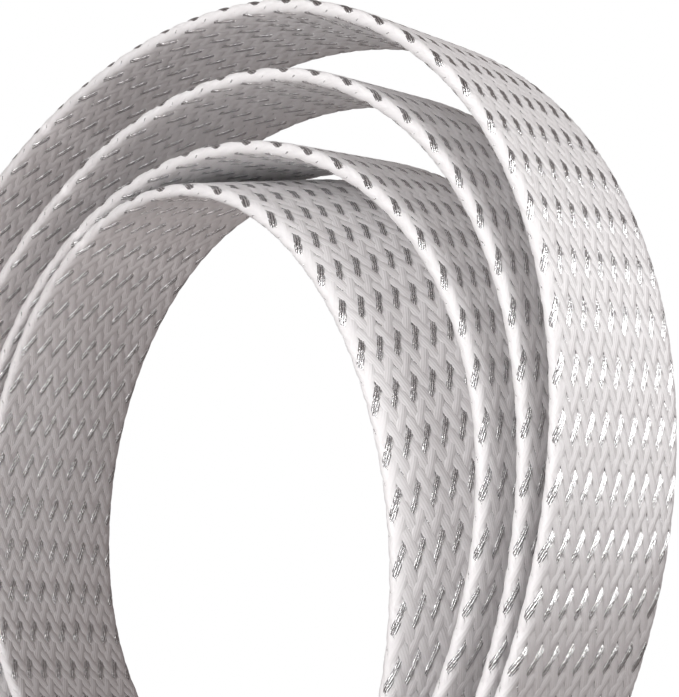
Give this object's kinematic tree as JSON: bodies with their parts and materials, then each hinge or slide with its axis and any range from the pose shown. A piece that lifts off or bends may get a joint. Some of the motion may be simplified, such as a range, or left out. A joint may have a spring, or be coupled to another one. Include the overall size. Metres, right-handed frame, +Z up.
{
  "type": "braided cable sleeve",
  "caption": "Flat braided cable sleeve of white and silvery strands, wound on edge into a loose open coil; open at both cut ends, so that wires can be drawn through it.",
  "frame": {"origin": "middle of the coil's bounding box, on the floor that the lower folds stand on", "axes": "+Z up, along the winding axis and the flat width of the sleeve; +X across the coil's wider side; the cut ends are on the -Y side"},
  "size_m": [0.109, 0.0958, 0.015],
  "materials": {
    "braid": "satin"
  },
  "bodies": {
    "root": {"braided_sleeve": "braid"}
  },
  "joints": []
}
